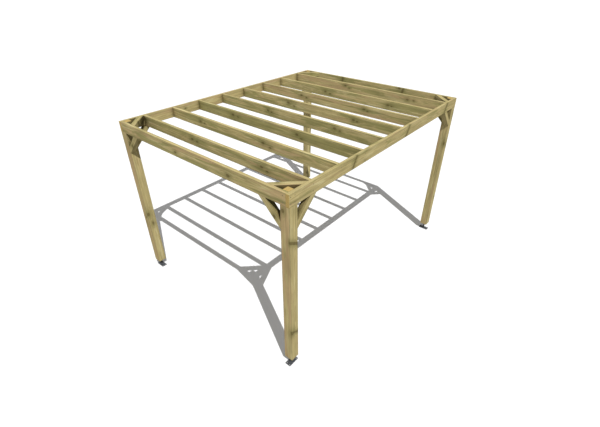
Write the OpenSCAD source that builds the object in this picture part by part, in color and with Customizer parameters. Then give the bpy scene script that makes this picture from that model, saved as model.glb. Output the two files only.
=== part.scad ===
// Free-standing timber pergola: four posts on steel feet, a rectangle of rails
// let into the post heads, eight joists across it and a diagonal brace in every corner.
// The origin is on the ground, at the middle of the plan. +X runs along the short side,
// +Y along the long side and +Z up.

/* [Overall] */
// Width over the posts, along the short side
frame_w = 3070; // [2400:10:4000]
// Depth over the posts, along the long side
frame_d = 4025; // [3300:5:6000]
// Length of each timber post
post_l = 2400; // [1800:10:3000]

/* [Timber sections] */
// Side of the square posts
post_s = 120; // [90:1:160]
// Thickness of the rails and joists
beam_t = 45; // [28:1:60]
// Height of the rails and joists
beam_h = 145; // [95:1:220]
// Side of the square braces
brace_s = 70; // [45:1:85]

/* [Braces] */
// Length of a knee brace along its longer side
knee_l = 410; // [250:5:700]
// Clear gap between a post head and the corner brace beside it
head_gap = 28; // [5:1:60]
// Clear gap between a corner brace and the joist beside it
joist_gap = 4; // [0:1:60]

/* [Feet] */
// Clear height between the ground and the lower end of a post
foot_h = 115; // [60:1:200]
// Width of the ground plate
plate_w = 80; // [60:1:120]
// Length of the ground plate; each foot is turned a quarter from the next one round the frame
plate_l = 160; // [100:1:200]
// Thickness of the ground plate and of the head plate
plate_t = 6; // [3:0.5:10]
// Side of the square head plate under the post
head_s = 80; // [50:1:90]
// Diameter of the stem between the plates
stem_d = 24; // [16:1:36]
// Width of the lock nut across its flats
nut_s = 36; // [30:1:50]
// Height of the lock nut
nut_h = 19; // [8:1:24]
// Diameter of the fixing holes in the ground plate
hole_d = 12; // [8:0.5:14]
// Distance from the middle of a fixing hole to both edges of the ground plate
hole_edge = 18; // [12:1:22]

/* [Hidden] */
joist_count = 8;
ends = ["front", "back"];
sides = ["left", "right"];
$fn = 48;

// Heights of the top of the frame and of the underside of the rails
top_z = foot_h + post_l;
beam_z = top_z - beam_h;

// Half the clear width and depth between the rails
inner_x = frame_w / 2 - beam_t;
inner_y = frame_d / 2 - beam_t;

// The head of a post is what its two rebates leave, a square inside the rails
head_t = post_s - beam_t;

// A brace runs at 45 degrees, so its width takes this much of each leg of the corner
brace_run = brace_s * sqrt(2);
knee_leg = knee_l / sqrt(2);
corner_leg = 2 * head_t + head_gap * sqrt(2) + brace_run;

// Place of the first joist, just past the corner braces, and the step to the next
joist_first = -inner_y + corner_leg + joist_gap;
joist_pitch = (-2 * joist_first - beam_t) / (joist_count - 1);

// A cut runs past the face it opens by this much
over = 1;

timber_pale = [0.78, 0.71, 0.5];
timber_tan = [0.7, 0.6, 0.42];
timber_green = [0.64, 0.58, 0.38];
steel = [0.2, 0.21, 0.22];

// Carries its children, drawn for the front right corner, to the corner named
module at_corner(end, side) {
    mirror([side == "left" ? 1 : 0, 0, 0])
        mirror([0, end == "back" ? 1 : 0, 0])
            translate([frame_w / 2, -frame_d / 2, 0])
                children();
}

// Square post with two rebates in its top, where the rails sit
module post(end, side) {
    color(timber_pale)
        at_corner(end, side)
            difference() {
                translate([-post_s, 0, foot_h])
                    cube([post_s, post_s, post_l]);
                translate([-beam_t, -over, beam_z])
                    cube([beam_t + over, post_s + 2 * over, beam_h + over]);
                translate([-post_s - over, -over, beam_z])
                    cube([post_s + 2 * over, beam_t + over, beam_h + over]);
            }
}

// Long rail, which runs the full depth of the frame
module side_rail(side) {
    color(timber_pale)
        translate([side == "left" ? -frame_w / 2 : inner_x, -frame_d / 2, beam_z])
            cube([beam_t, frame_d, beam_h]);
}

// Beam that spans between the two long rails, with its front face at y
module cross_beam(y) {
    translate([-inner_x, y, beam_z])
        cube([2 * inner_x, beam_t, beam_h]);
}

// Short rail, which closes an end of the frame
module end_rail(end) {
    color(timber_tan)
        cross_beam(end == "front" ? -frame_d / 2 : inner_y);
}

// Joist number i, counted from the front
module joist(i) {
    color(timber_green)
        cross_beam(joist_first + (i - 1) * joist_pitch);
}

// Square brace across the corner of the XY plane, mitred to end flush on both legs
module brace(leg) {
    near = leg - brace_run;
    linear_extrude(brace_s)
        polygon([[near, 0], [leg, 0], [0, leg], [0, near]]);
}

// Brace that lies between two rails, flush with their tops
module corner_brace(end, side) {
    color(timber_pale)
        at_corner(end, side)
            translate([-beam_t, beam_t, top_z - brace_s])
                rotate([0, 0, 90])
                    brace(corner_leg);
}

// Brace from a post up to the end rail, flush with their outer faces
module knee_end(end, side) {
    color(timber_tan)
        at_corner(end, side)
            translate([-post_s, brace_s, beam_z])
                rotate([90, 0, 0])
                    rotate([0, 0, 180])
                        brace(knee_leg);
}

// Brace from a post up to the side rail, flush with their outer faces
module knee_side(end, side) {
    color(timber_tan)
        at_corner(end, side)
            translate([-brace_s, post_s, beam_z])
                rotate([90, 0, 90])
                    rotate([0, 0, -90])
                        brace(knee_leg);
}

// Flat ground plate with a fixing hole near each corner
module ground_plate() {
    hole_x = plate_w / 2 - hole_edge;
    hole_y = plate_l / 2 - hole_edge;
    difference() {
        translate([-plate_w / 2, -plate_l / 2, 0])
            cube([plate_w, plate_l, plate_t]);
        for (x = [-hole_x, hole_x], y = [-hole_y, hole_y])
            translate([x, y, -over])
                cylinder(d = hole_d, h = plate_t + 2 * over);
    }
}

// Steel foot: ground plate, stem, lock nut and the head plate that the post stands on
module foot(end, side) {
    head_z = foot_h - plate_t;
    turned = (end == "front") != (side == "right");
    color(steel)
        at_corner(end, side)
            translate([-post_s / 2, post_s / 2, 0]) {
                rotate([0, 0, turned ? 90 : 0])
                    ground_plate();
                translate([0, 0, plate_t])
                    cylinder(d = stem_d, h = head_z - plate_t);
                translate([0, 0, head_z - nut_h])
                    cylinder(d = nut_s / cos(30), h = nut_h, $fn = 6);
                translate([-head_s / 2, -head_s / 2, head_z])
                    cube([head_s, head_s, plate_t]);
            }
}

for (e = ends, s = sides) {
    post(e, s);
    corner_brace(e, s);
    knee_end(e, s);
    knee_side(e, s);
    foot(e, s);
}
for (s = sides) side_rail(s);
for (e = ends) end_rail(e);
for (i = [1:joist_count]) joist(i);
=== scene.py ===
"""Looks of a free-standing timber pergola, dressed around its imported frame.

Every timber is remade from its own frame solid as a sawn, pressure-treated baulk with eased
arrises, end grain, knots, drying checks and countersunk screws. The four steel feet get a
threaded stem, a chamfered lock nut, welds and drilled ground plates.
Lengths are in metres. +X runs along the short side, +Y along the long side and +Z up.
"""

import logging
import math
import random
from dataclasses import dataclass, field
from enum import Enum
from typing import Iterable, Sequence

import bmesh
import bpy
import numpy as np
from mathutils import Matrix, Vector, noise


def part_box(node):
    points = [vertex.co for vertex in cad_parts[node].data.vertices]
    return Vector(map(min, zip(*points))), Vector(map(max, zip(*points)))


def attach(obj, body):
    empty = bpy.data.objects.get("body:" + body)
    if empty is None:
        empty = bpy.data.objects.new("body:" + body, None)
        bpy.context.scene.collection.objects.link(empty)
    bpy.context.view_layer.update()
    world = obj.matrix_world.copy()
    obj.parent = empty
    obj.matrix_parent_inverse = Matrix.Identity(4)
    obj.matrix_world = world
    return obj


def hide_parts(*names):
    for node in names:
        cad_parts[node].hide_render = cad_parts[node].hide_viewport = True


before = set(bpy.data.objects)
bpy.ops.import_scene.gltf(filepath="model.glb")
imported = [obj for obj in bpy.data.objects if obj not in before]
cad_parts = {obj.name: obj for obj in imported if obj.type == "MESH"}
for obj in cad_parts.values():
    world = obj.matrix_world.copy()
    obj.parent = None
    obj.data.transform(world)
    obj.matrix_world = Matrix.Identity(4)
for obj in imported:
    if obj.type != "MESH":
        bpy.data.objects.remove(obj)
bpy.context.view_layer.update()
LOG = logging.getLogger("pergola")

BODY = "root"
UP = Vector((0, 0, 1))
KNOTS_PER_TIMBER = 4
TOUCHING = 1e-5
Colour = tuple[float, float, float]
Value = float | Sequence[float] | bpy.types.NodeSocket


class End(Enum):
    """Short end of the frame that a piece belongs to."""

    FRONT = -1
    BACK = 1

    @property
    def word(self) -> str:
        """The word that node names use for this end."""
        return self.name.lower()


class Side(Enum):
    """Long side of the frame that a piece belongs to."""

    LEFT = -1
    RIGHT = 1

    @property
    def word(self) -> str:
        """The word that node names use for this side."""
        return self.name.lower()


CORNERS = [(end, side) for end in End for side in Side]


# ---------------------------------------------------------------- shader graphs


class Graph:
    """Short way to add nodes and links to one node tree."""

    def __init__(self, tree: bpy.types.NodeTree) -> None:
        """Keeps the tree that the nodes go into."""
        self.tree = tree

    def add(self, kind: str, inputs: dict | None = None, **settings) -> bpy.types.Node:
        """Adds one node.

        Args:
            kind: Node type without its ShaderNode prefix.
            inputs: Socket name or index to a number, a colour or another node's socket.
            **settings: Properties to set on the node before its inputs.

        Returns:
            The new node.
        """
        node = self.tree.nodes.new("ShaderNode" + kind)
        for name, value in settings.items():
            setattr(node, name, value)
        for key, value in (inputs or {}).items():
            self.feed(node.inputs[key], value)
        return node

    def feed(self, socket: bpy.types.NodeSocket, value: Value) -> None:
        """Links a socket to another socket, or sets its own value.

        Args:
            socket: Input socket.
            value: Another node's output, a number, a vector or a colour without alpha.
        """
        if isinstance(value, bpy.types.NodeSocket):
            self.tree.links.new(value, socket)
        elif socket.type == "RGBA" and len(value) == 3:
            socket.default_value = (*value, 1.0)
        else:
            socket.default_value = value

    def math(self, operation: str, *terms: Value) -> bpy.types.NodeSocket:
        """Result of a Math node with that operation and one to three terms."""
        return self.add("Math", dict(enumerate(terms)), operation=operation).outputs[0]

    def share(self, mask: Value, amount: float) -> bpy.types.NodeSocket:
        """A mask weakened to an amount."""
        return self.math("MULTIPLY", mask, amount)

    def around(self, value: Value, spread: float, middle: float = 0.0) -> bpy.types.NodeSocket:
        """A grey value between 0 and 1, spread evenly about a middle."""
        return self.math("MULTIPLY_ADD", value, spread, middle - spread / 2)

    def stretched(self, place: Value, along: float, across: float) -> bpy.types.NodeSocket:
        """A place along the grain and across it, scaled by a number for each."""
        return self.vector("MULTIPLY", place, (along, across, across))

    def vector(self, operation: str, *terms: Value) -> bpy.types.NodeSocket:
        """Result of a Vector Math node, a vector or the number that LENGTH gives."""
        node = self.add("VectorMath", dict(enumerate(terms)), operation=operation)
        return node.outputs["Value" if operation == "LENGTH" else "Vector"]

    def noise(self, place: Value, scale: Value, detail: float = 2.0, rough: float = 0.5,
              warp: float = 0.0) -> bpy.types.NodeSocket:
        """Grey value of a Noise Texture.

        Args:
            place: Where it is read.
            scale: How fine it is.
            detail: Number of finer layers.
            rough: Strength of the finer layers.
            warp: How far the places are pulled about.

        Returns:
            The value's socket, about 0.5 on average.
        """
        inputs = {"Vector": place, "Scale": scale, "Detail": detail, "Roughness": rough,
                  "Distortion": warp}
        return self.add("TexNoise", inputs).outputs["Fac"]

    def ramp(self, value: Value, low: float, high: float, start: float = 0.0,
             end: float = 1.0) -> bpy.types.NodeSocket:
        """Smooth step of a value.

        Args:
            value: The value's socket.
            low: Where the step begins.
            high: Where it ends, which may be below low.
            start: Result at low.
            end: Result at high.

        Returns:
            The result's socket.
        """
        inputs = {"Value": value, "From Min": low, "From Max": high, "To Min": start,
                  "To Max": end}
        return self.add("MapRange", inputs, interpolation_type="SMOOTHSTEP").outputs["Result"]

    def mix(self, share: Value, first: Value, second: Value,
            blend: str = "MIX") -> bpy.types.NodeSocket:
        """Colour with a share of a second one blended over the first."""
        return self.add("Mix", {0: share, 6: first, 7: second}, data_type="RGBA",
                        blend_type=blend).outputs[2]

    def finish(self, shader: bpy.types.Node, output: str) -> None:
        """Links a shader to a new output node of the kind given."""
        self.tree.links.new(shader.outputs[0], self.add(output).inputs[0])

    def attribute(self, name: str, output: str = "Vector") -> bpy.types.NodeSocket:
        """Value of a mesh attribute."""
        return self.add("Attribute", attribute_name=name).outputs[output]

    def place(self, group: bpy.types.NodeTree, inputs: dict) -> bpy.types.NodeOutputs:
        """Outputs of a node group that is placed with these inputs."""
        return self.add("Group", inputs, node_tree=group).outputs

    def by_ray(self, other: bpy.types.Node, seen: bpy.types.Node, output: str) -> None:
        """Finishes with a shader that the camera's own rays meet and one for all others.

        Args:
            other: Shader that all other rays meet.
            seen: Shader that the camera sees.
            output: Kind of the output node.
        """
        ray = self.add("LightPath").outputs["Is Camera Ray"]
        both = self.add("MixShader", {0: ray, 1: other.outputs[0], 2: seen.outputs[0]})
        self.finish(both, output)


def new_material(name: str) -> tuple[bpy.types.Material, Graph]:
    """Makes an empty material with nodes.

    Args:
        name: Name of the material.

    Returns:
        The material and the graph that fills it.
    """
    material = bpy.data.materials.new(name)
    material.use_nodes = True
    material.node_tree.nodes.clear()
    return material, Graph(material.node_tree)


class SharedEffect:
    """Shader node group with named sockets, built once and used by several finishes."""

    def __init__(self, name: str, vectors: Sequence[str], values: Sequence[str],
                 results: Sequence[str]) -> None:
        """Makes the empty group.

        Args:
            name: Name of the group.
            vectors: Names of its vector inputs.
            values: Names of its value inputs.
            results: Names of its outputs, which are all values.
        """
        self.tree = bpy.data.node_groups.new(name, "ShaderNodeTree")
        for keys, way, kind in ((vectors, "INPUT", "Vector"), (values, "INPUT", "Float"),
                                (results, "OUTPUT", "Float")):
            for key in keys:
                self.tree.interface.new_socket(key, in_out=way, socket_type="NodeSocket" + kind)
        self.graph = Graph(self.tree)
        self.given = self.tree.nodes.new("NodeGroupInput").outputs
        self.result = self.tree.nodes.new("NodeGroupOutput").inputs

    def put(self, **values: bpy.types.NodeSocket) -> bpy.types.NodeTree:
        """Links the group's outputs.

        Args:
            **values: Output name to the socket that feeds it.

        Returns:
            The finished group.
        """
        for key, value in values.items():
            self.tree.links.new(value, self.result[key])
        return self.tree


def knots_effect() -> bpy.types.NodeTree:
    """Branch knots, each given by its own place in units of its radius.

    Returns:
        Group with outputs core, rim and halo.
    """
    names = [f"knot_{i}" for i in range(1, KNOTS_PER_TIMBER + 1)]
    made = SharedEffect("knots", [*names, "grain"], [], ["core", "rim", "halo"])
    g = made.graph
    distances = [g.vector("LENGTH", g.vector("MULTIPLY", made.given[name], (1, 1, 0)))
                 for name in names]
    near = distances[0]
    for distance in distances[1:]:
        near = g.math("MINIMUM", near, distance)
    worn = g.math("ADD", near, g.around(g.noise(made.given["grain"], 90, 2), 0.7))
    core = g.ramp(worn, 1.15, 0.75)
    from_rim = g.math("ABSOLUTE", g.math("SUBTRACT", worn, 1.0))
    rim = g.ramp(from_rim, 0.45, 0.0)
    bell = g.math("POWER", math.e, g.share(g.math("POWER", near, 2), -0.075))
    torn = g.noise(g.stretched(made.given["grain"], 9, 60), 1.0, 3, 0.6)
    halo = g.math("MULTIPLY", bell, g.ramp(torn, 0.2, 0.6, 0.35, 1.0))
    return made.put(core=core, rim=rim, halo=halo)


def rings_effect() -> bpy.types.NodeTree:
    """Growth rings round the pith, which show as arches, lines or arcs by face.

    Returns:
        Group with outputs late (dark late wood), fibre (fine threads) and streak (long
        darker and lighter bands).
    """
    made = SharedEffect("growth_rings", ["grain"], ["spacing", "push"],
                        ["late", "fibre", "streak"])
    g, grain = made.graph, made.given["grain"]
    slow = g.stretched(grain, 1.1, 6)
    drift = g.add("TexNoise", {"Vector": slow, "Scale": 1.0, "Detail": 3.0}).outputs["Color"]
    shift = g.stretched(g.vector("SUBTRACT", drift, (0.5, 0.5, 0.5)), 0, 0.035)
    radius = g.vector("LENGTH", g.stretched(g.vector("ADD", grain, shift), 0, 1))
    count = g.math("DIVIDE", radius, made.given["spacing"])
    count = g.math("ADD", count, g.share(made.given["push"], 2.4))
    uneven = g.noise(g.add("CombineXYZ", {0: count}).outputs[0], 0.6, 1)
    phase = g.math("FRACT", g.math("MULTIPLY_ADD", uneven, 1.6, count))
    late = g.math("MULTIPLY", g.ramp(phase, 0.25, 0.85), g.ramp(phase, 1.0, 0.88))
    fibre = g.noise(g.stretched(grain, 7, 420), 1.0, 3, 0.6)
    streak = g.noise(g.stretched(grain, 1.3, 55), 1.0, 3, 0.55, 0.4)
    return made.put(late=late, fibre=fibre, streak=streak)


def treatment_effect() -> bpy.types.NodeTree:
    """Uneven green preservative, pink heartwood and pale sapwood along a timber.

    Returns:
        Group with outputs green, pink, pale and cloud, all masks.
    """
    made = SharedEffect("treatment", ["grain"], ["green", "pink"],
                        ["green", "pink", "pale", "cloud"])
    g, grain = made.graph, made.given["grain"]
    bands = g.stretched(grain, 1.7, 17)
    wet = g.noise(g.vector("ADD", bands, (3.1, 7.7, 1.9)), 1.0, 4, 0.62, 0.8)
    green = g.ramp(g.math("ADD", wet, g.around(made.given["green"], 0.4)), 0.46, 0.59)
    warm = g.noise(g.vector("ADD", bands, (11.3, 2.9, 5.3)), 0.8, 4, 0.6, 0.7)
    pink = g.ramp(g.math("ADD", warm, g.around(made.given["pink"], 0.4)), 0.45, 0.59)
    sap = g.noise(g.vector("ADD", bands, (5.7, 13.1, 8.2)), 1.3, 3, 0.55, 0.6)
    cloud = g.noise(g.stretched(grain, 4, 11), 1.0, 3, 0.6, 0.4)
    return made.put(green=green, pink=pink, pale=g.ramp(sap, 0.5, 0.7), cloud=cloud)


def arris_effect() -> bpy.types.NodeTree:
    """Rubbed arrises, from the distance to the nearest edge along the grain.

    Returns:
        Group with output edge.
    """
    made = SharedEffect("arris_wear", ["section", "half", "grain"], [], ["edge"])
    g = made.graph
    inside = g.vector("SUBTRACT", made.given["half"],
                      g.vector("ABSOLUTE", made.given["section"]))
    split = g.add("SeparateXYZ", {0: inside}).outputs
    distance = g.math("MAXIMUM", split[1], split[2])
    ragged = g.around(g.noise(made.given["grain"], 24, 3, 0.6), 0.008, 0.001)
    return made.put(edge=g.ramp(g.math("ADD", distance, ragged), 0.011, 0.0))


def nook_shade_effect() -> bpy.types.NodeTree:
    """Painted shade where timbers meet: the more closed in a point is, the darker its wood.

    Returns:
        Group with one output, the painted shade, from 0 in the open to 1 deep in a corner.
    """
    made = SharedEffect("painted_nook_shade", [], ["reach"], ["damp"])
    g = made.graph
    # Painted shade from ambient occlusion: the more closed in a point is, the darker it gets.
    occlusion = g.add("AmbientOcclusion", {"Distance": made.given["reach"]}, samples=8)
    return made.put(damp=g.ramp(occlusion.outputs["AO"], 0.85, 0.35))


def specks_effect() -> bpy.types.NodeTree:
    """Dust and small chips on steel.

    Returns:
        Group with outputs chips and dust.
    """
    made = SharedEffect("specks", [], ["scale"], ["chips", "dust"])
    g = made.graph
    place = g.add("TexCoord").outputs["Object"]
    chips = g.ramp(g.noise(place, made.given["scale"], 4.0, 0.7), 0.66, 0.74)
    dust = g.ramp(g.noise(place, 38, 3, 0.6), 0.4, 0.8)
    return made.put(chips=chips, dust=dust)


@dataclass(frozen=True)
class Coat:
    """Colour that a mask lays over the one beneath it, as far as its share."""

    mask: str
    share: float
    colour: Colour


@dataclass(frozen=True)
class TimberFinish:
    """Sawn softwood after pressure treatment.

    Colours are linear. Above the early wood lie the stains, then the shading, whose depths
    say how far a pattern darkens and lightens the wood, then the wear and, last, a painted
    shade in the nooks where timbers meet. spacing is the mean width of a growth ring, and the
    nook reach is how far that painted shade spreads from a corner.
    """

    name: str
    early: Colour = (0.553, 0.46, 0.213)
    late: Coat = Coat("late", 0.55, (0.36, 0.275, 0.115))
    stains: tuple[Coat, ...] = (Coat("pale", 0.55, (0.685, 0.61, 0.33)),
                                Coat("pink", 0.75, (0.53, 0.375, 0.195)),
                                Coat("green", 0.66, (0.262, 0.255, 0.088)))
    fibre_depth: float = 0.36
    streak_depth: float = 1.0
    cloud_depth: float = 0.4
    end: Colour = (0.60, 0.42, 0.14)
    end_late_share: float = 0.75
    wear: tuple[Coat, ...] = (Coat("edge", 0.68, (0.25, 0.215, 0.10)),
                              Coat("halo", 0.78, (0.19, 0.175, 0.06)),
                              Coat("core", 0.5, (0.11, 0.075, 0.03)),
                              Coat("rim", 0.5, (0.11, 0.075, 0.03)))
    # Painted shade: darkens the wood in the nooks where timbers meet.
    nook_shade_coat: Coat = Coat("damp", 0.88, (0.16, 0.135, 0.085))
    spacing: float = 0.0045
    shade_reach: float = 0.22
    relief: float = 0.45
    relief_depth: float = 0.0008
    gloss: float = 0.08

    def masks(self, g: Graph,
              effects: dict[str, bpy.types.NodeTree]) -> dict[str, bpy.types.NodeSocket]:
        """Places the shared effects in a material.

        Args:
            g: The material's graph.
            effects: The shared node groups by name.

        Returns:
            Every mask that the finish uses, by name.
        """
        grain = g.attribute("grain")
        skin = g.add("SeparateXYZ", {0: g.attribute("skin")}).outputs
        branches = {f"knot_{i}": g.attribute(f"knot_{i}")
                    for i in range(1, KNOTS_PER_TIMBER + 1)}
        knots = g.place(effects["knots"], {"grain": grain} | branches)
        rings = g.place(effects["rings"], {"grain": grain, "spacing": self.spacing,
                                           "push": knots["halo"]})
        stain = g.place(effects["treatment"], {"grain": grain, "pink": skin[0],
                                               "green": skin[1]})
        wear = g.place(effects["arris"], {"section": g.attribute("section"),
                                          "half": g.attribute("half"), "grain": grain})
        # The painted shade that darkens the nooks.
        shade_in_nooks = g.place(effects["painted_nook_shade"], {"reach": self.shade_reach})
        found = {"end": g.attribute("end", "Fac"), "light": g.math("SUBTRACT", 1.0, skin[2])}
        for outputs in (knots, rings, stain, wear, shade_in_nooks):
            found |= {socket.name: socket for socket in outputs}
        return found

    def colour(self, g: Graph, mask: dict[str, bpy.types.NodeSocket]) -> bpy.types.NodeSocket:
        """Lays the wood's colours over each other, and last the painted shade in the nooks.

        Args:
            g: The material's graph.
            mask: The masks by name.

        Returns:
            The finished colour.
        """
        colour = self.early
        for coat in (self.late, *self.stains):
            colour = g.mix(g.share(mask[coat.mask], coat.share), colour, coat.colour)
        shade = g.around(mask["fibre"], self.fibre_depth, 1.0)
        shade = g.math("MULTIPLY", shade, g.around(mask["streak"], self.streak_depth, 1.02))
        shade = g.math("MULTIPLY", shade, g.around(mask["cloud"], self.cloud_depth, 1.0))
        shade = g.math("MULTIPLY", shade, mask["light"])
        grey = g.add("CombineColor", {channel: shade for channel in range(3)}).outputs[0]
        colour = g.mix(1.0, colour, grey, "MULTIPLY")
        golden = g.mix(g.share(mask["late"], self.end_late_share), self.end, self.late.colour)
        colour = g.mix(mask["end"], colour, golden)
        for coat in self.wear:
            colour = g.mix(g.share(mask[coat.mask], coat.share), colour, coat.colour)
        # Painted shade darkens the nooks last.
        return g.mix(g.share(mask[self.nook_shade_coat.mask], self.nook_shade_coat.share), colour,
                     self.nook_shade_coat.colour, "MULTIPLY")

    def material(self, effects: dict[str, bpy.types.NodeTree]) -> bpy.types.Material:
        """Builds the finish's material.

        Args:
            effects: The shared node groups by name.

        Returns:
            The finished material.
        """
        material, g = new_material(self.name)
        mask = self.masks(g, effects)
        height = g.math("MULTIPLY_ADD", mask["late"], 0.35, g.share(mask["fibre"], 0.65))
        height = g.math("MULTIPLY_ADD", mask["core"], 0.5, height)
        bump = g.add("Bump", {"Height": height, "Strength": self.relief,
                              "Distance": self.relief_depth})
        rough = g.math("MULTIPLY_ADD", mask["late"], -0.06, 0.78)
        rough = g.math("MULTIPLY_ADD", mask["fibre"], 0.18, rough)
        shader = g.add("BsdfPrincipled", {"Base Color": self.colour(g, mask),
                                          "Roughness": rough, "Normal": bump.outputs[0]})
        shader.inputs["Specular IOR Level"].default_value = self.gloss
        g.finish(shader, "OutputMaterial")
        return material


@dataclass(frozen=True)
class SteelFinish:
    """Coated or plated steel with dust and small chips."""

    name: str
    coat: Colour
    bare: Colour
    metallic: float
    roughness: float
    chip_share: float
    chip_scale: float = 260.0
    dust: Colour = (0.2, 0.18, 0.15)
    dust_share: float = 0.22
    relief: float = 0.2
    relief_depth: float = 0.0003

    def material(self, effects: dict[str, bpy.types.NodeTree]) -> bpy.types.Material:
        """Builds the finish's material.

        Args:
            effects: The shared node groups by name.

        Returns:
            The finished material.
        """
        material, g = new_material(self.name)
        specks = g.place(effects["specks"], {"scale": self.chip_scale})
        chips = g.share(specks["chips"], self.chip_share)
        colour = g.mix(chips, self.coat, self.bare)
        colour = g.mix(g.share(specks["dust"], self.dust_share), colour, self.dust)
        rough = g.math("MULTIPLY_ADD", specks["dust"], 0.3, self.roughness)
        peel = g.noise(g.add("TexCoord").outputs["Object"], 900, 2)
        bump = g.add("Bump", {"Height": g.math("SUBTRACT", peel, chips),
                              "Strength": self.relief, "Distance": self.relief_depth})
        shader = g.add("BsdfPrincipled", {"Base Color": colour, "Roughness": rough,
                                          "Metallic": self.metallic,
                                          "Normal": bump.outputs[0]})
        g.finish(shader, "OutputMaterial")
        return material


class Palette:
    """Every finish of the pergola, by the record's slot or by its own name."""

    def __init__(self) -> None:
        """Builds the shared effects and all materials."""
        # One of these groups paints shade into the nooks where timbers meet.
        effects = {"knots": knots_effect(), "rings": rings_effect(),
                   "treatment": treatment_effect(), "arris": arris_effect(),
                   "painted_nook_shade": nook_shade_effect(), "specks": specks_effect()}
        finishes = [
            TimberFinish("timber_post", spacing=0.0055),
            TimberFinish("timber_rail"),
            TimberFinish("timber_joist", spacing=0.005),
            TimberFinish("timber_brace"),
            SteelFinish("steel_foot", (0.085, 0.092, 0.1), (0.2, 0.19, 0.18), 0.35, 0.42, 0.5),
            SteelFinish("steel_thread", (0.05, 0.05, 0.053), (0.2, 0.19, 0.17), 0.85, 0.38, 0.4),
            SteelFinish("screw_plating", (0.30, 0.27, 0.19), (0.1, 0.08, 0.05), 0.8, 0.45, 0.6),
        ]
        self.materials = {f.name: f.material(effects) for f in finishes}

    def __getitem__(self, name: str) -> bpy.types.Material:
        """The material of that name."""
        return self.materials[name]


# ---------------------------------------------------------------- shared mesh work


def new_piece(name: str, mesh: bpy.types.Mesh,
              materials: Iterable[bpy.types.Material]) -> bpy.types.Object:
    """Links a mesh to the scene as a piece that rides on the one rigid body.

    Args:
        name: Piece name.
        mesh: Final mesh, in the frame's coordinates.
        materials: Materials for the mesh, in slot order.

    Returns:
        The new object.
    """
    piece = bpy.data.objects.new(name, mesh)
    bpy.context.scene.collection.objects.link(piece)
    for material in materials:
        mesh.materials.append(material)
    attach(piece, BODY)
    LOG.info("%s: %d faces", name, len(mesh.polygons))
    return piece


def mesh_from(bm: bmesh.types.BMesh, name: str) -> bpy.types.Mesh:
    """Turns a bmesh into a mesh with its faces outwards.

    Args:
        bm: The bmesh, freed here.
        name: Name of the mesh.

    Returns:
        The mesh.
    """
    mesh = bpy.data.meshes.new(name)
    bmesh.ops.recalc_face_normals(bm, faces=bm.faces)
    bm.to_mesh(mesh)
    bm.free()
    return mesh


def ring_points(centre: Vector, across: Vector, up: Vector, radius: float,
                count: int, turn: float = 0.0) -> list[Vector]:
    """Points of a regular polygon in the plane of two axes, turned from the first."""
    angles = [turn + math.tau * i / count for i in range(count)]
    return [centre + radius * (math.cos(a) * across + math.sin(a) * up) for a in angles]


def polar(centre: Vector, angle: float, radius: float, height: float) -> Vector:
    """Point round the upright line through a centre, at a height over it."""
    return centre + Vector((radius * math.cos(angle), radius * math.sin(angle), height))


def skin_rings(bm: bmesh.types.BMesh, rings: list[list[Vector]],
               closed: bool = True) -> list[list[bmesh.types.BMVert]]:
    """Joins rings of points into a tube.

    Args:
        bm: Mesh to add to.
        rings: Rings with the same number of points each.
        closed: Whether to close the first and the last ring with a face.

    Returns:
        The vertices of each ring.
    """
    verts = [[bm.verts.new(p) for p in ring] for ring in rings]
    count = len(rings[0])
    for low, high in zip(verts, verts[1:]):
        for i in range(count):
            j = (i + 1) % count
            bm.faces.new((low[i], low[j], high[j], high[i]))
    if closed:
        bm.faces.new(verts[0][::-1])
        bm.faces.new(verts[-1])
    return verts


def side_axes(direction: Vector) -> tuple[Vector, Vector]:
    """Two unit vectors square to a direction and to each other.

    Args:
        direction: A unit vector.

    Returns:
        The two vectors.
    """
    helper = UP if abs(direction.z) < 0.9 else Vector((1, 0, 0))
    across = direction.cross(helper).normalized()
    return across, direction.cross(across).normalized()


# ---------------------------------------------------------------- fixings


@dataclass
class Screw:
    """Countersunk timber screw, seen as its head in a shallow pocket.

    at is on the timber's face and into points from there into the wood.
    """

    at: Vector
    into: Vector
    head_r: float = 0.0048
    pocket_r: float = 0.0054
    pocket_depth: float = 0.0016
    sunk: float = 0.0005
    turn: float = 0.0

    POCKET_SIDES = 20
    HEAD_SIDES = 24
    LOBES = 6

    def cut(self, bm: bmesh.types.BMesh) -> None:
        """Adds the pocket's cutter, which starts just above the face.

        Args:
            bm: Mesh to add to.
        """
        across, up = side_axes(self.into)
        mouth, bottom = (-0.002, self.pocket_r * 1.12), (self.pocket_depth, self.pocket_r)
        skin_rings(bm, [ring_points(self.at + depth * self.into, across, up, radius,
                                    self.POCKET_SIDES) for depth, radius in (mouth, bottom)])

    def head(self, bm: bmesh.types.BMesh) -> None:
        """Adds the head, a shallow dome with a six-lobed drive recess.

        Args:
            bm: Mesh to add to.
        """
        across, up = side_axes(self.into)
        crown = self.sunk - 0.0001
        dome = ((self.pocket_depth, 1.0), (self.sunk + 0.0004, 1.0), (self.sunk, 0.92),
                (crown, 0.62))
        rings = [ring_points(self.at + depth * self.into, across, up, self.head_r * share,
                             self.HEAD_SIDES, self.turn) for depth, share in dome]
        round_points = ring_points(Vector(), across, up, 1.0, self.HEAD_SIDES, self.turn)
        for depth, taper in ((crown, 1.0), (self.sunk + 0.0009, 0.86)):
            star = []
            for i, point in enumerate(round_points):
                lobe = 0.44 + 0.08 * math.cos(self.LOBES * math.tau * i / self.HEAD_SIDES)
                star.append(self.at + depth * self.into + point * self.head_r * lobe * taper)
            rings.append(star)
        skin_rings(bm, rings)


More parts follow.
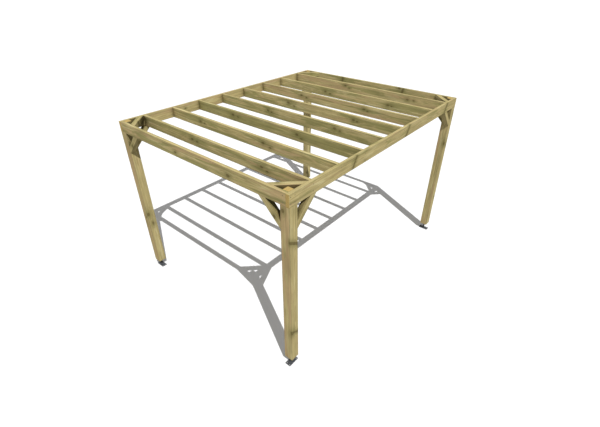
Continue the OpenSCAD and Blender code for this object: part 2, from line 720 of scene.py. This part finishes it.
@dataclass
class DryingCheck:
    """Fine split that opened along the grain while the timber dried."""

    at: Vector
    along: Vector
    into: Vector
    length: float
    width: float
    depth: float
    seed: int

    STATIONS = 9
    PROUD = 0.001
    WANDER = 0.0011

    def cut(self, bm: bmesh.types.BMesh) -> None:
        """Adds the split's cutter, a wandering wedge that thins to both ends.

        Args:
            bm: Mesh to add to.
        """
        rng = random.Random(self.seed)
        across = self.along.cross(self.into).normalized()
        rings, wander = [], 0.0
        for i in range(self.STATIONS):
            t = i / (self.STATIONS - 1)
            swell = max(0.06, math.sin(math.pi * t) ** 0.7)
            wander += rng.uniform(-self.WANDER, self.WANDER)
            centre = self.at + (t - 0.5) * self.length * self.along + wander * across
            half = 0.5 * self.width * swell
            rings.append([centre - half * across - self.PROUD * self.into,
                          centre + half * across - self.PROUD * self.into,
                          centre + half * across,
                          centre + self.depth * swell * self.into,
                          centre - half * across])
        skin_rings(bm, rings)


# ---------------------------------------------------------------- timbers


@dataclass
class Knot:
    """Branch cut through by the saw.

    place is measured from the timber's middle along, wide and thick. branch is the direction
    of the branch in the same axes, and stretch draws the knot out along the grain.
    """

    place: Vector
    branch: Vector
    radius: float
    stretch: float = 1.3


@dataclass(frozen=True)
class Skin:
    """How one face of a timber took the treatment: its leaning to pink and to green."""

    pink: float
    green: float


# The faces that look along the long side, then all others.
TREATED = {
    "timber_post": (Skin(0.4, 0.15), Skin(-0.05, 0.15)),
    "timber_rail": (Skin(0.5, 0.4), Skin(0.25, 0.28)),
    "timber_joist": (Skin(0.4, 0.55), Skin(0.1, 0.3)),
    "timber_brace": (Skin(0.2, 0.35), Skin(0.15, 0.35)),
}


@dataclass
class Timber:
    """One baulk of the frame, remade from its frame solid.

    along and wide are the directions of the grain and of the wider side of the section.
    greener trades pink heartwood for green treatment over the whole timber. Its arrises are
    eased by ease and rubbed back by up to wander, and station is the length of a mesh segment.
    FLAT and SHARP are angles between faces, FACING and END_GRAIN cosines of a face's direction.
    """

    node: str
    slot: str
    along: Vector
    wide: Vector
    seed: int
    screws: list[Screw] = field(default_factory=list)
    checks: list[DryingCheck] = field(default_factory=list)
    knots: list[Knot] = field(default_factory=list)
    greener: float = 0.0
    ease: float = 0.0025
    station: float = 0.16
    wander: float = 0.0006

    FLAT = 0.02
    SHARP = 0.3
    FACING = 0.6
    END_GRAIN = 0.85

    def __post_init__(self) -> None:
        """Works out the third axis and the random draws of this timber."""
        self.thick = self.along.cross(self.wide).normalized()
        self.axes = np.array([self.along, self.wide, self.thick], float)
        self.rng = random.Random(self.seed)
        self.start = self.rng.uniform(5, 60)
        boxed = self.slot == "timber_post"
        self.pith = Vector((0, self.rng.uniform(-0.02, 0.02), self.rng.uniform(-0.02, 0.02))
                           if boxed else
                           (0, self.rng.uniform(-0.03, 0.03),
                            self.rng.choice((-1, 1)) * self.rng.uniform(0.03, 0.075)))
        self.lean = (self.rng.uniform(-0.006, 0.006), self.rng.uniform(-0.004, 0.004))

    def shell(self) -> bmesh.types.BMesh:
        """Copies the frame solid, eases its arrises and cuts it into stations.

        Returns:
            A closed bmesh of the timber.
        """
        bm = bmesh.new()
        bm.from_mesh(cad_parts[self.node].data)
        bmesh.ops.remove_doubles(bm, verts=bm.verts, dist=TOUCHING)
        bmesh.ops.recalc_face_normals(bm, faces=bm.faces)
        bmesh.ops.dissolve_limit(bm, angle_limit=self.FLAT, verts=bm.verts, edges=bm.edges)
        outer = [e for e in bm.edges if e.is_convex and e.calc_face_angle(0.0) > self.SHARP]
        bmesh.ops.bevel(bm, geom=outer, offset=self.ease, segments=2, profile=0.6,
                        affect="EDGES", clamp_overlap=True)
        spots = [v.co.dot(self.along) for v in bm.verts]
        low, high = min(spots), max(spots)
        steps = max(2, round((high - low) / self.station))
        for i in range(1, steps):
            at = low + (high - low) * i / steps
            bmesh.ops.bisect_plane(bm, geom=bm.verts[:] + bm.edges[:] + bm.faces[:],
                                   plane_co=self.along * at, plane_no=self.along,
                                   dist=TOUCHING)
        self.wear(bm)
        return bm

    def wear(self, bm: bmesh.types.BMesh) -> None:
        """Rubs the arrises back unevenly, always inwards.

        Args:
            bm: The timber's shell.
        """
        centre, half = self.extent(np.array([v.co for v in bm.verts], float))
        own = Vector((self.start, 0, 0))
        for vert in bm.verts:
            local = self.axes @ np.array(vert.co) - centre
            near = [i for i in (1, 2) if half[i] - abs(local[i]) < self.ease * 1.1]
            if len(near) < 2 or half[0] - abs(local[0]) < 2 * self.ease:
                continue
            rub = self.wander * (0.5 + 0.5 * noise.noise(Vector(vert.co) * 7 + own))
            vert.co -= rub * (math.copysign(1, local[1]) * self.wide
                              + math.copysign(1, local[2]) * self.thick)

    def extent(self, places: np.ndarray) -> tuple[np.ndarray, np.ndarray]:
        """Middle and half size of the timber along its own three axes.

        Args:
            places: Its points, one a row.

        Returns:
            The middle and the half size.
        """
        local = places @ self.axes.T
        low, high = local.min(0), local.max(0)
        return (low + high) / 2, (high - low) / 2

    def carve(self, bm: bmesh.types.BMesh) -> bpy.types.Mesh:
        """Cuts the screw pockets and drying checks into the timber.

        Args:
            bm: The timber's closed shell, freed here.

        Returns:
            The carved mesh.
        """
        mesh = mesh_from(bm, self.node + "_timber")
        cutters = [*self.screws, *self.checks]
        if not cutters:
            return mesh
        tool_bm = bmesh.new()
        for cutter in cutters:
            cutter.cut(tool_bm)
        tool = bpy.data.objects.new("tool", mesh_from(tool_bm, "tool"))
        work = bpy.data.objects.new("work", mesh)
        for thing in (tool, work):
            bpy.context.scene.collection.objects.link(thing)
        cut = work.modifiers.new("carve", "BOOLEAN")
        cut.operation, cut.solver, cut.object = "DIFFERENCE", "EXACT", tool
        view = bpy.context.evaluated_depsgraph_get()
        carved = bpy.data.meshes.new_from_object(work.evaluated_get(view))
        for thing in (tool, work):
            bpy.data.objects.remove(thing)
        carved.name = self.node + "_timber"
        return carved

    def random_knots(self, half: np.ndarray) -> list[Knot]:
        """Knots whose branches run out from the pith, at seeded places.

        Args:
            half: Half size of the timber along its own three axes.

        Returns:
            As many knots as the timber has room for beside its own.
        """
        found = []
        for _ in range(KNOTS_PER_TIMBER - len(self.knots)):
            angle = self.rng.uniform(0, math.tau)
            branch = Vector((self.rng.uniform(-0.25, 0.25), math.cos(angle), math.sin(angle)))
            place = Vector((self.rng.uniform(-0.92, 0.92) * half[0], self.pith[1], self.pith[2]))
            found.append(Knot(place, branch.normalized(), self.rng.uniform(0.006, 0.014),
                              self.rng.uniform(1.3, 2.2)))
        return found

    def skin(self, normal: Vector) -> Skin:
        """Treatment of the face that looks along a normal."""
        broad, narrow = TREATED[self.slot]
        return broad if abs(normal.y) > self.FACING else narrow

    def attributes(self, mesh: bpy.types.Mesh) -> None:
        """Writes what the timber finish reads: grain, section, knots, skin and ends.

        Args:
            mesh: The timber's final mesh.
        """
        places = np.array([v.co for v in mesh.vertices], float)
        centre, half = self.extent(places)
        local = places @ self.axes.T - centre
        grain = local - np.array(self.pith)
        grain[:, 1] += self.lean[0] * local[:, 0]
        grain[:, 2] += self.lean[1] * local[:, 0]
        grain[:, 0] += self.start
        layers = {"grain": grain, "section": local, "half": np.tile(half, (len(local), 1))}
        knots = [*self.knots, *self.random_knots(half)][:KNOTS_PER_TIMBER]
        for i, knot in enumerate(knots, 1):
            branch = np.array(knot.branch.normalized())
            first = np.array((1.0, 0.0, 0.0)) - branch[0] * branch
            first /= np.linalg.norm(first)
            second = np.cross(branch, first)
            away = local - np.array(knot.place)
            layers[f"knot_{i}"] = np.stack([
                away @ first / (knot.radius * knot.stretch),
                away @ second / knot.radius, away @ branch / knot.radius], 1)
        for name, values in layers.items():
            layer = mesh.attributes.new(name, "FLOAT_VECTOR", "POINT")
            layer.data.foreach_set("vector", values.astype(np.float32).ravel())
        tone = [self.rng.uniform(-0.2, 0.2) for _ in range(2)] + [self.rng.uniform(0, 0.08)]
        skins, ends = [], []
        for face in mesh.polygons:
            skin = self.skin(face.normal)
            skins += [skin.pink + tone[0] - self.greener,
                      skin.green + tone[1] + self.greener, tone[2]]
            ends.append(float(abs(face.normal.dot(self.along)) > self.END_GRAIN))
        layer = mesh.attributes.new("skin", "FLOAT_VECTOR", "FACE")
        layer.data.foreach_set("vector", skins)
        layer = mesh.attributes.new("end", "FLOAT", "FACE")
        layer.data.foreach_set("value", ends)

    def build(self, palette: Palette) -> bpy.types.Object:
        """Makes the piece and lets it stand for its frame node.

        Args:
            palette: All finishes.

        Returns:
            The timber piece.
        """
        mesh = self.carve(self.shell())
        self.attributes(mesh)
        piece = new_piece("timber_" + self.node, mesh, [palette[self.slot]])
        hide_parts(self.node)
        return piece


class Layout:
    """Places of the frame's timbers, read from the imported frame."""

    def __init__(self) -> None:
        """Reads the boxes that the other classes share."""
        low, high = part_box("rail_right")
        self.half_w, self.half_d = high.x, high.y
        self.beam_t, self.beam_h = high.x - low.x, high.z - low.z
        self.top, self.under = high.z, low.z
        low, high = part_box("post_front_right")
        self.post_s, self.foot_h = high.x - low.x, low.z
        low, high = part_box("corner_brace_front_right")
        self.brace_s = high.z - low.z
        self.head_t = self.post_s - self.beam_t
        self.joists = sorted(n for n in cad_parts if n.startswith("joist_"))


@dataclass
class Posts:
    """The four square posts, of which the front right one has two knots across its face.

    Each has two drying checks, whose middles lie within check_heights over the ground and
    at most check_offset from the middle of the face.
    """

    layout: Layout
    knot_heights: tuple[float, float] = (0.615, -0.715)
    knot_r: float = 0.011
    knot_stretch: float = 1.2
    branch: tuple[float, float, float] = (-0.55, 1, 0)
    check_heights: tuple[float, float] = (0.6, 1.5)
    check_offset: float = 0.02
    check_lengths: tuple[float, float] = (0.3, 0.6)
    check_width: float = 0.0011
    check_depth: float = 0.006
    seed: int = 300

    def timbers(self) -> list[Timber]:
        """Plans the posts.

        Returns:
            The posts with their knots and drying checks.
        """
        made = []
        for number, (end, side) in enumerate(CORNERS):
            node = f"post_{end.word}_{side.word}"
            timber = Timber(node, "timber_post", UP, Vector((0, 1, 0)), self.seed + number)
            timber.checks = self.checks(timber, end, side)
            if (end, side) == (End.FRONT, Side.RIGHT):
                timber.knots = self.knots()
            made.append(timber)
        return made

    def knots(self) -> list[Knot]:
        """Plans two branches that cross a whole face.

        Returns:
            The one above the middle and the one below it.
        """
        half = self.layout.post_s / 2
        return [Knot(Vector((height, 0, -half)), Vector(self.branch), self.knot_r,
                     self.knot_stretch) for height in self.knot_heights]

    def checks(self, timber: Timber, end: End, side: Side) -> list[DryingCheck]:
        """Two fine splits, on the two faces that look out of the frame.

        Args:
            timber: The post.
            end: End that it stands at.
            side: Side that it stands on.

        Returns:
            The splits.
        """
        lay, rng = self.layout, timber.rng
        x = side.value * (lay.half_w - lay.post_s / 2)
        y = end.value * (lay.half_d - lay.post_s / 2)
        made = []
        for number, into in enumerate((Vector((-side.value, 0, 0)), Vector((0, -end.value, 0)))):
            height = rng.uniform(*self.check_heights)
            offset = rng.uniform(-self.check_offset, self.check_offset)
            at = Vector((x, y, height)) - into * lay.post_s / 2
            at += offset * Vector((abs(into.y), abs(into.x), 0))
            made.append(DryingCheck(at, UP, into, rng.uniform(*self.check_lengths),
                                    self.check_width, self.check_depth,
                                    timber.seed * 10 + number))
        return made


@dataclass
class Rails:
    """The two long side rails and the two end rails between them.

    edge is the distance of the screws from the rail's upper and lower edge, and stray how
    far they miss their row. The knots go through the outer faces of the side rails and the
    inner face of the back rail.
    """

    layout: Layout
    edge: float = 0.034
    stray: float = 0.003
    side_knots: tuple[float, ...] = (-0.92, 0.35, 1.61)
    side_knot_r: float = 0.009
    side_branch: tuple[float, float, float] = (0.55, 1, 0)
    back_knots: tuple[float, ...] = (-0.64, 0.61)
    back_knot_r: float = 0.011
    back_branch: tuple[float, float, float] = (0.2, 1, 0)
    seed: int = 400

    def heights(self) -> tuple[float, float]:
        """Heights of the two screws of a joint."""
        return self.layout.under + self.edge, self.layout.top - self.edge

    def timbers(self) -> list[Timber]:
        """The four rails with their screws and knots."""
        return self.side_rails() + self.end_rails()

    def side_rails(self) -> list[Timber]:
        """Plans the side rails.

        Returns:
            The rails, screwed to the end rails, the post heads and the joists.
        """
        lay, made = self.layout, []
        for number, side in enumerate(Side):
            timber = Timber(f"rail_{side.word}", "timber_rail", Vector((0, 1, 0)), UP,
                            self.seed + number)
            face, into = side.value * lay.half_w, Vector((-side.value, 0, 0))
            rows = [s * (lay.half_d - lay.beam_t - lay.head_t / 2) for s in (-1, 1)]
            rows += [s * (lay.half_d - lay.beam_t / 2) for s in (-1, 1)]
            rows += [sum(b.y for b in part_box(n)) / 2 for n in lay.joists]
            timber.screws = [Screw(Vector((face, y + timber.rng.uniform(-self.stray, self.stray),
                                           z)), into, turn=timber.rng.uniform(0, 1))
                             for y in rows for z in self.heights()]
            timber.knots = [Knot(Vector((at, 0, side.value * lay.beam_t / 2)),
                                 Vector(self.side_branch), self.side_knot_r)
                            for at in self.side_knots]
            made.append(timber)
        return made

    def end_rails(self) -> list[Timber]:
        """Plans the end rails.

        Returns:
            The rails, screwed to the post heads.
        """
        lay, made = self.layout, []
        for number, end in enumerate(End):
            timber = Timber(f"rail_{end.word}", "timber_rail", Vector((1, 0, 0)), UP,
                            self.seed + 10 + number)
            face, into = end.value * lay.half_d, Vector((0, -end.value, 0))
            across = lay.half_w - lay.beam_t - lay.head_t / 2
            timber.screws = [Screw(Vector((x, face, z)), into, turn=timber.rng.uniform(0, 1))
                             for x in (-across, across) for z in self.heights()]
            if end is End.BACK:
                timber.knots = [Knot(Vector((at, 0, lay.beam_t / 2)), Vector(self.back_branch),
                                     self.back_knot_r) for at in self.back_knots]
            made.append(timber)
        return made


@dataclass
class Joists:
    """The joists that cross the roof between the side rails.

    Each has two whorls of knots, whorl_gap apart. first_whorls and greener are given from
    the front, and a joist that first_whorls leaves out draws its own within later_whorls.
    large and small are the radius and the stretch of a whorl's two knots.
    """

    layout: Layout
    seed: int = 500
    whorl_gap: float = 1.22
    first_whorls: tuple[float, ...] = (-0.38, -0.83, -0.69, -0.44)
    later_whorls: tuple[float, float] = (-0.9, -0.3)
    large: tuple[float, float] = (0.012, 1.7)
    small: tuple[float, float] = (0.008, 1.8)
    greener: tuple[float, ...] = (0.14, -0.12, 0.14, 0.22, 0.0, -0.15, 0.1, 0.0)

    def timbers(self) -> list[Timber]:
        """Plans the joists.

        Returns:
            All joists from the front, each with its knots.
        """
        made = []
        for number, node in enumerate(self.layout.joists):
            timber = Timber(node, "timber_joist", Vector((1, 0, 0)), UP, self.seed + number,
                            greener=self.greener[number % len(self.greener)])
            known = number < len(self.first_whorls)
            first = (self.first_whorls[number] if known
                     else timber.rng.uniform(*self.later_whorls))
            timber.knots = [knot for at in (first, first + self.whorl_gap)
                            for knot in self.whorl(timber, at)]
            made.append(timber)
        return made

    def whorl(self, timber: Timber, at: float) -> list[Knot]:
        """Two knots that grew close together, on the face towards the front.

        Args:
            timber: The joist.
            at: Distance from its middle along it.

        Returns:
            The knots.
        """
        face, rng = self.layout.beam_t / 2, timber.rng
        branch = Vector((0.1, rng.uniform(-0.3, 0.3), 1))
        return [Knot(Vector((at, rng.uniform(0.0, 0.035), face)), branch, *self.large),
                Knot(Vector((at + rng.uniform(0.06, 0.12), rng.uniform(-0.03, 0.01), face)),
                     branch, *self.small)]


@dataclass
class Braces:
    """The corner braces in the roof and the knee braces under the rails.

    inset is the distance of a screw from the end of the face that it goes through.
    """

    inset: float = 0.034
    seed: int = 600

    def timbers(self) -> list[Timber]:
        """Plans the braces.

        Returns:
            All twelve, each with a screw near both mitred ends.
        """
        made = []
        for number, (end, side) in enumerate(CORNERS):
            x, y = side.value, end.value
            plans = {f"corner_brace_{end.word}_{side.word}": (Vector((x, -y, 0)), UP,
                                                              Vector((x, y, 0))),
                     f"knee_end_{end.word}_{side.word}": (Vector((x, 0, -1)), Vector((0, 1, 0)),
                                                          Vector((x, 0, 1))),
                     f"knee_side_{end.word}_{side.word}": (Vector((0, y, -1)), Vector((1, 0, 0)),
                                                           Vector((0, y, 1)))}
            for step, (node, (along, wide, out)) in enumerate(plans.items()):
                timber = Timber(node, "timber_brace", along.normalized(), wide,
                                self.seed + 10 * number + step)
                timber.screws = self.screws(timber, out.normalized())
                made.append(timber)
        return made

    def screws(self, timber: Timber, out: Vector) -> list[Screw]:
        """A screw near each end, through the face that looks into the frame.

        Args:
            timber: The brace.
            out: Direction from the brace towards the corner that it stiffens.

        Returns:
            The screws.
        """
        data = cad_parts[timber.node].data
        places = np.array([v.co for v in data.vertices], float)
        middle, _ = timber.extent(places)
        toward = np.array(out)
        face = (places @ toward).min()
        reach = (places[places @ toward < face + 1e-4] @ np.array(timber.along))
        made = []
        for spot in (reach.min() + self.inset, reach.max() - self.inset):
            at = spot * timber.along + face * out + float(middle[1]) * timber.wide
            made.append(Screw(at, out, turn=timber.rng.uniform(0, 1)))
        return made


@dataclass
class ScrewHeads:
    """All screw heads of one group of timbers, as one piece."""

    name: str
    timbers: list[Timber]

    def build(self, palette: Palette) -> bpy.types.Object:
        """Makes the heads as one piece on the body.

        Args:
            palette: All finishes.

        Returns:
            The piece.
        """
        bm = bmesh.new()
        for timber in self.timbers:
            for screw in timber.screws:
                screw.head(bm)
        return new_piece(self.name, mesh_from(bm, self.name),
                         [palette["screw_plating"]])


# ---------------------------------------------------------------- steel feet


@dataclass
class Foot:
    """Adjustable steel foot under one post."""

    end: End
    side: Side
    plate_t: float = 0.006
    corner_r: float = 0.006
    head_s: float = 0.080
    stem_r: float = 0.012
    pitch: float = 0.003
    thread_depth: float = 0.0014
    nut_s: float = 0.036
    nut_h: float = 0.019
    hole_r: float = 0.006
    hole_edge: float = 0.018
    bolt_s: float = 0.013
    bolt_h: float = 0.0055
    bolt_inset: float = 0.011
    ease: float = 0.0006
    weld_s: float = 0.005
    stem_sides: int = 28
    rows_per_turn: int = 4
    hole_sides: int = 24
    nut_sides: int = 36
    weld_sides: int = 72

    def __post_init__(self) -> None:
        """Reads the foot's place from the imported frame."""
        self.node = f"foot_{self.end.word}_{self.side.word}"
        low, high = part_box(self.node)
        self.plate_w, self.plate_l = high.x - low.x, high.y - low.y
        self.centre = Vector(((low.x + high.x) / 2, (low.y + high.y) / 2, 0))
        self.height = high.z

    def outline(self, width: float, length: float, radius: float) -> list[Vector]:
        """Rectangle with rounded corners.

        Args:
            width: Size along X.
            length: Size along Y.
            radius: Radius of the corners.

        Returns:
            Its points round the origin, anticlockwise.
        """
        points = []
        for k, (sx, sy) in enumerate(((1, 1), (-1, 1), (-1, -1), (1, -1))):
            middle = Vector((sx * (width / 2 - radius), sy * (length / 2 - radius), 0))
            for i in range(5):
                a = math.pi / 2 * (k + i / 4)
                points.append(middle + radius * Vector((math.cos(a), math.sin(a), 0)))
        return points

    def plate(self, bm: bmesh.types.BMesh, width: float, length: float, z: float,
              holes: list[Vector]) -> None:
        """Adds a flat plate with eased edges and drilled holes.

        Args:
            bm: Mesh to add to.
            width: Size along X.
            length: Size along Y.
            z: Height of its underside.
            holes: Middles of the holes.
        """
        ease = self.ease
        levels = [(z, -ease), (z + ease, 0.0), (z + self.plate_t - ease, 0.0),
                  (z + self.plate_t, -ease)]
        outline = []
        for height, grow in levels:
            loop = self.outline(width + 2 * grow, length + 2 * grow, self.corner_r)
            outline.append([self.centre + p + height * UP for p in loop])
        walls = [outline]
        for hole in holes:
            walls.append([ring_points(self.centre + hole + height * UP, Vector((1, 0, 0)),
                                      Vector((0, 1, 0)), self.hole_r - grow, self.hole_sides)
                          for height, grow in levels])
        tubes = [skin_rings(bm, rings, closed=False) for rings in walls]
        for face in (0, -1):
            edges = [bm.edges.get(pair) for tube in tubes
                     for pair in zip(tube[face], tube[face][1:] + tube[face][:1])]
            bmesh.ops.triangle_fill(bm, use_beauty=True, use_dissolve=False, edges=edges)

    def thread(self, bm: bmesh.types.BMesh, low: float, high: float) -> None:
        """Adds the threaded stem as one continuous helical skin.

        Args:
            bm: Mesh to add to.
            low: Height of its lower end.
            high: Height of its upper end.
        """
        rows = int((high - low) / self.pitch * self.rows_per_turn)
        rings = []
        for row in range(rows + 1):
            z = low + (high - low) * row / rows
            fade = min(1.0, (z - low) / self.pitch, (high - z) / self.pitch)
            ring = []
            for i in range(self.stem_sides):
                turn = i / self.stem_sides
                wave = abs(2 * ((z / self.pitch - turn) % 1.0) - 1)
                r = self.stem_r - self.thread_depth * wave * fade
                ring.append(polar(self.centre, math.tau * turn, r, z))
            rings.append(ring)
        skin_rings(bm, rings)

    def hexagon(self, bm: bmesh.types.BMesh, at: Vector, flats: float, low: float,
                high: float) -> None:
        """Adds a hexagonal nut or bolt head with chamfered corners on both faces.

        Args:
            bm: Mesh to add to.
            at: Middle of the hexagon, at height zero.
            flats: Width across the flats.
            low: Height of its lower face.
            high: Height of its upper face.
        """
        outer, rings = flats / math.sqrt(3), []
        chamfer = outer - flats / 2
        for z, limit in ((low, flats / 2), (low + chamfer * 0.6, outer),
                         (high - chamfer * 0.6, outer), (high, flats / 2)):
            ring = []
            for i in range(self.nut_sides):
                a = math.tau * i / self.nut_sides
                r = min(limit, flats / 2 / math.cos((a % (math.tau / 6)) - math.tau / 12))
                ring.append(polar(at, a, r, z))
            rings.append(ring)
        skin_rings(bm, rings)

    def weld(self, bm: bmesh.types.BMesh) -> None:
        """Adds the fillet weld round the stem, with the ripples of its runs.

        Args:
            bm: Mesh to add to.
        """
        rings = []
        for share in (0.0, 0.35, 0.7, 1.0):
            ring = []
            for i in range(self.weld_sides):
                a = math.tau * i / self.weld_sides
                size = self.weld_s + 0.0004 * math.sin(a * 18) + 0.0003 * math.sin(a * 5 + 1)
                r = self.stem_r - 0.001 + size * math.cos(share * math.pi / 2)
                h = size * math.sin(share * math.pi / 2)
                ring.append(polar(self.centre, a, r, self.plate_t + h))
            rings.append(ring)
        skin_rings(bm, rings)

    def build(self, palette: Palette) -> None:
        """Makes the coated plates of the foot, and its thread, lock nut and bolts.

        Args:
            palette: All finishes.
        """
        hole_x, hole_y = self.plate_w / 2 - self.hole_edge, self.plate_l / 2 - self.hole_edge
        holes = [Vector((sx * hole_x, sy * hole_y, 0)) for sx in (-1, 1) for sy in (-1, 1)]
        under = self.height - self.plate_t
        bm = bmesh.new()
        self.plate(bm, self.plate_w, self.plate_l, 0.0, holes)
        self.plate(bm, self.head_s, self.head_s, under, [])
        self.weld(bm)
        body = new_piece(f"plates_{self.node}", mesh_from(bm, "plates"),
                         [palette["steel_foot"]])
        bm = bmesh.new()
        self.thread(bm, self.plate_t, under)
        self.hexagon(bm, self.centre, self.nut_s, under - self.nut_h, under)
        spread = self.head_s / 2 - self.bolt_inset
        for sx in (-1, 1):
            for sy in (-1, 1):
                at = self.centre + Vector((sx * spread, sy * spread, 0))
                self.hexagon(bm, at, self.bolt_s, under - self.bolt_h, under)
        stem = new_piece(f"stem_{self.node}", mesh_from(bm, "stem"),
                         [palette["steel_thread"]])
        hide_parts(self.node)
        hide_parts(self.node)


# ---------------------------------------------------------------- surroundings


@dataclass
class Studio:
    """Pale floor, soft studio light and the camera."""

    floor_half: float = 160.0
    floor_gap: float = 0.0004
    sun_towards: tuple[float, float, float] = (0.634, -0.330, 1.0)
    sun_strength: float = 3.42
    sun_angle: float = 0.005
    sky: float = 0.225
    fill_towards: tuple[float, float, float] = (-0.1, -1.0, 0.12)
    fill_strength: float = 0.6
    back_towards: tuple[float, float, float] = (-0.8, 0.6, 0.14)
    back_strength: float = 0.9
    fill_angle: float = 0.9
    floor_seen: float = 0.94
    floor_bounce: float = 0.32
    past_corner: tuple[float, float, float] = (1.9706, -2.1801, 4.2307)
    turn: float = 0.7011
    dip: float = 0.5772
    lens: float = 22.517

    def floor(self) -> None:
        """Adds the plain pale floor."""
        bm = bmesh.new()
        bmesh.ops.create_grid(bm, x_segments=8, y_segments=8, size=self.floor_half)
        piece = bpy.data.objects.new("floor", mesh_from(bm, "floor"))
        piece.location.z = -self.floor_gap
        bpy.context.scene.collection.objects.link(piece)
        material, g = new_material("floor_pale")
        seen = g.add("BsdfDiffuse", {"Color": (self.floor_seen,) * 3})
        dim = g.add("BsdfDiffuse", {"Color": (self.floor_bounce,) * 3})
        g.by_ray(dim, seen, "OutputMaterial")
        piece.data.materials.append(material)

    def lamp(self, name: str, towards: Sequence[float], strength: float, angle: float) -> None:
        """Adds one distant lamp.

        Args:
            name: Name of the lamp.
            towards: Direction from the pergola to the lamp.
            strength: Strength of its light.
            angle: Width of the lamp as seen from the pergola, in radians.
        """
        sun = bpy.data.lights.new(name, "SUN")
        sun.energy, sun.angle = strength, angle
        lamp = bpy.data.objects.new(name, sun)
        lamp.rotation_euler = Vector(towards).to_track_quat("Z", "Y").to_euler()
        bpy.context.scene.collection.objects.link(lamp)

    def light(self) -> None:
        """Adds a crisp key light, two soft low fills and an even pale surround."""
        self.lamp("key", self.sun_towards, self.sun_strength, self.sun_angle)
        self.lamp("fill", self.fill_towards, self.fill_strength, self.fill_angle)
        self.lamp("back", self.back_towards, self.back_strength, self.fill_angle)
        world = bpy.data.worlds.new("surround")
        bpy.context.scene.world = world
        world.use_nodes = True
        g = Graph(world.node_tree)
        world.node_tree.nodes.clear()
        soft = g.add("Background", {"Color": (1, 1, 1), "Strength": self.sky})
        seen = g.add("Background", {"Color": (1, 1, 1), "Strength": 1.0})
        g.by_ray(soft, seen, "OutputWorld")

    def camera(self) -> None:
        """Adds the camera above the front right corner."""
        data = bpy.data.cameras.new("camera")
        data.lens, data.sensor_width, data.clip_end = self.lens, 36.0, 500.0
        camera = bpy.data.objects.new("camera", data)
        low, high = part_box("rail_right")
        near = Vector((high.x, low.y, 0))
        camera.location = near + Vector(self.past_corner)
        camera.rotation_euler = (math.pi / 2 - self.dip, 0, self.turn)
        bpy.context.scene.collection.objects.link(camera)
        bpy.context.scene.camera = camera

    def build(self) -> None:
        """Sets the whole stage."""
        bpy.context.scene.view_settings.view_transform = "Standard"
        self.floor()
        self.light()
        self.camera()


def main() -> None:
    """Builds the pergola and its surroundings in order."""
    logging.basicConfig(level=logging.INFO, format="%(name)s: %(message)s")
    palette, layout = Palette(), Layout()
    groups = {"screws_rails": Rails(layout).timbers(), "screws_braces": Braces().timbers()}
    plain = Posts(layout).timbers() + Joists(layout).timbers()
    for timber in [t for group in groups.values() for t in group] + plain:
        timber.build(palette)
    for name, timbers in groups.items():
        ScrewHeads(name, timbers).build(palette)
    for end, side in CORNERS:
        Foot(end, side).build(palette)
    Studio().build()


if __name__ == "__main__":
    main()
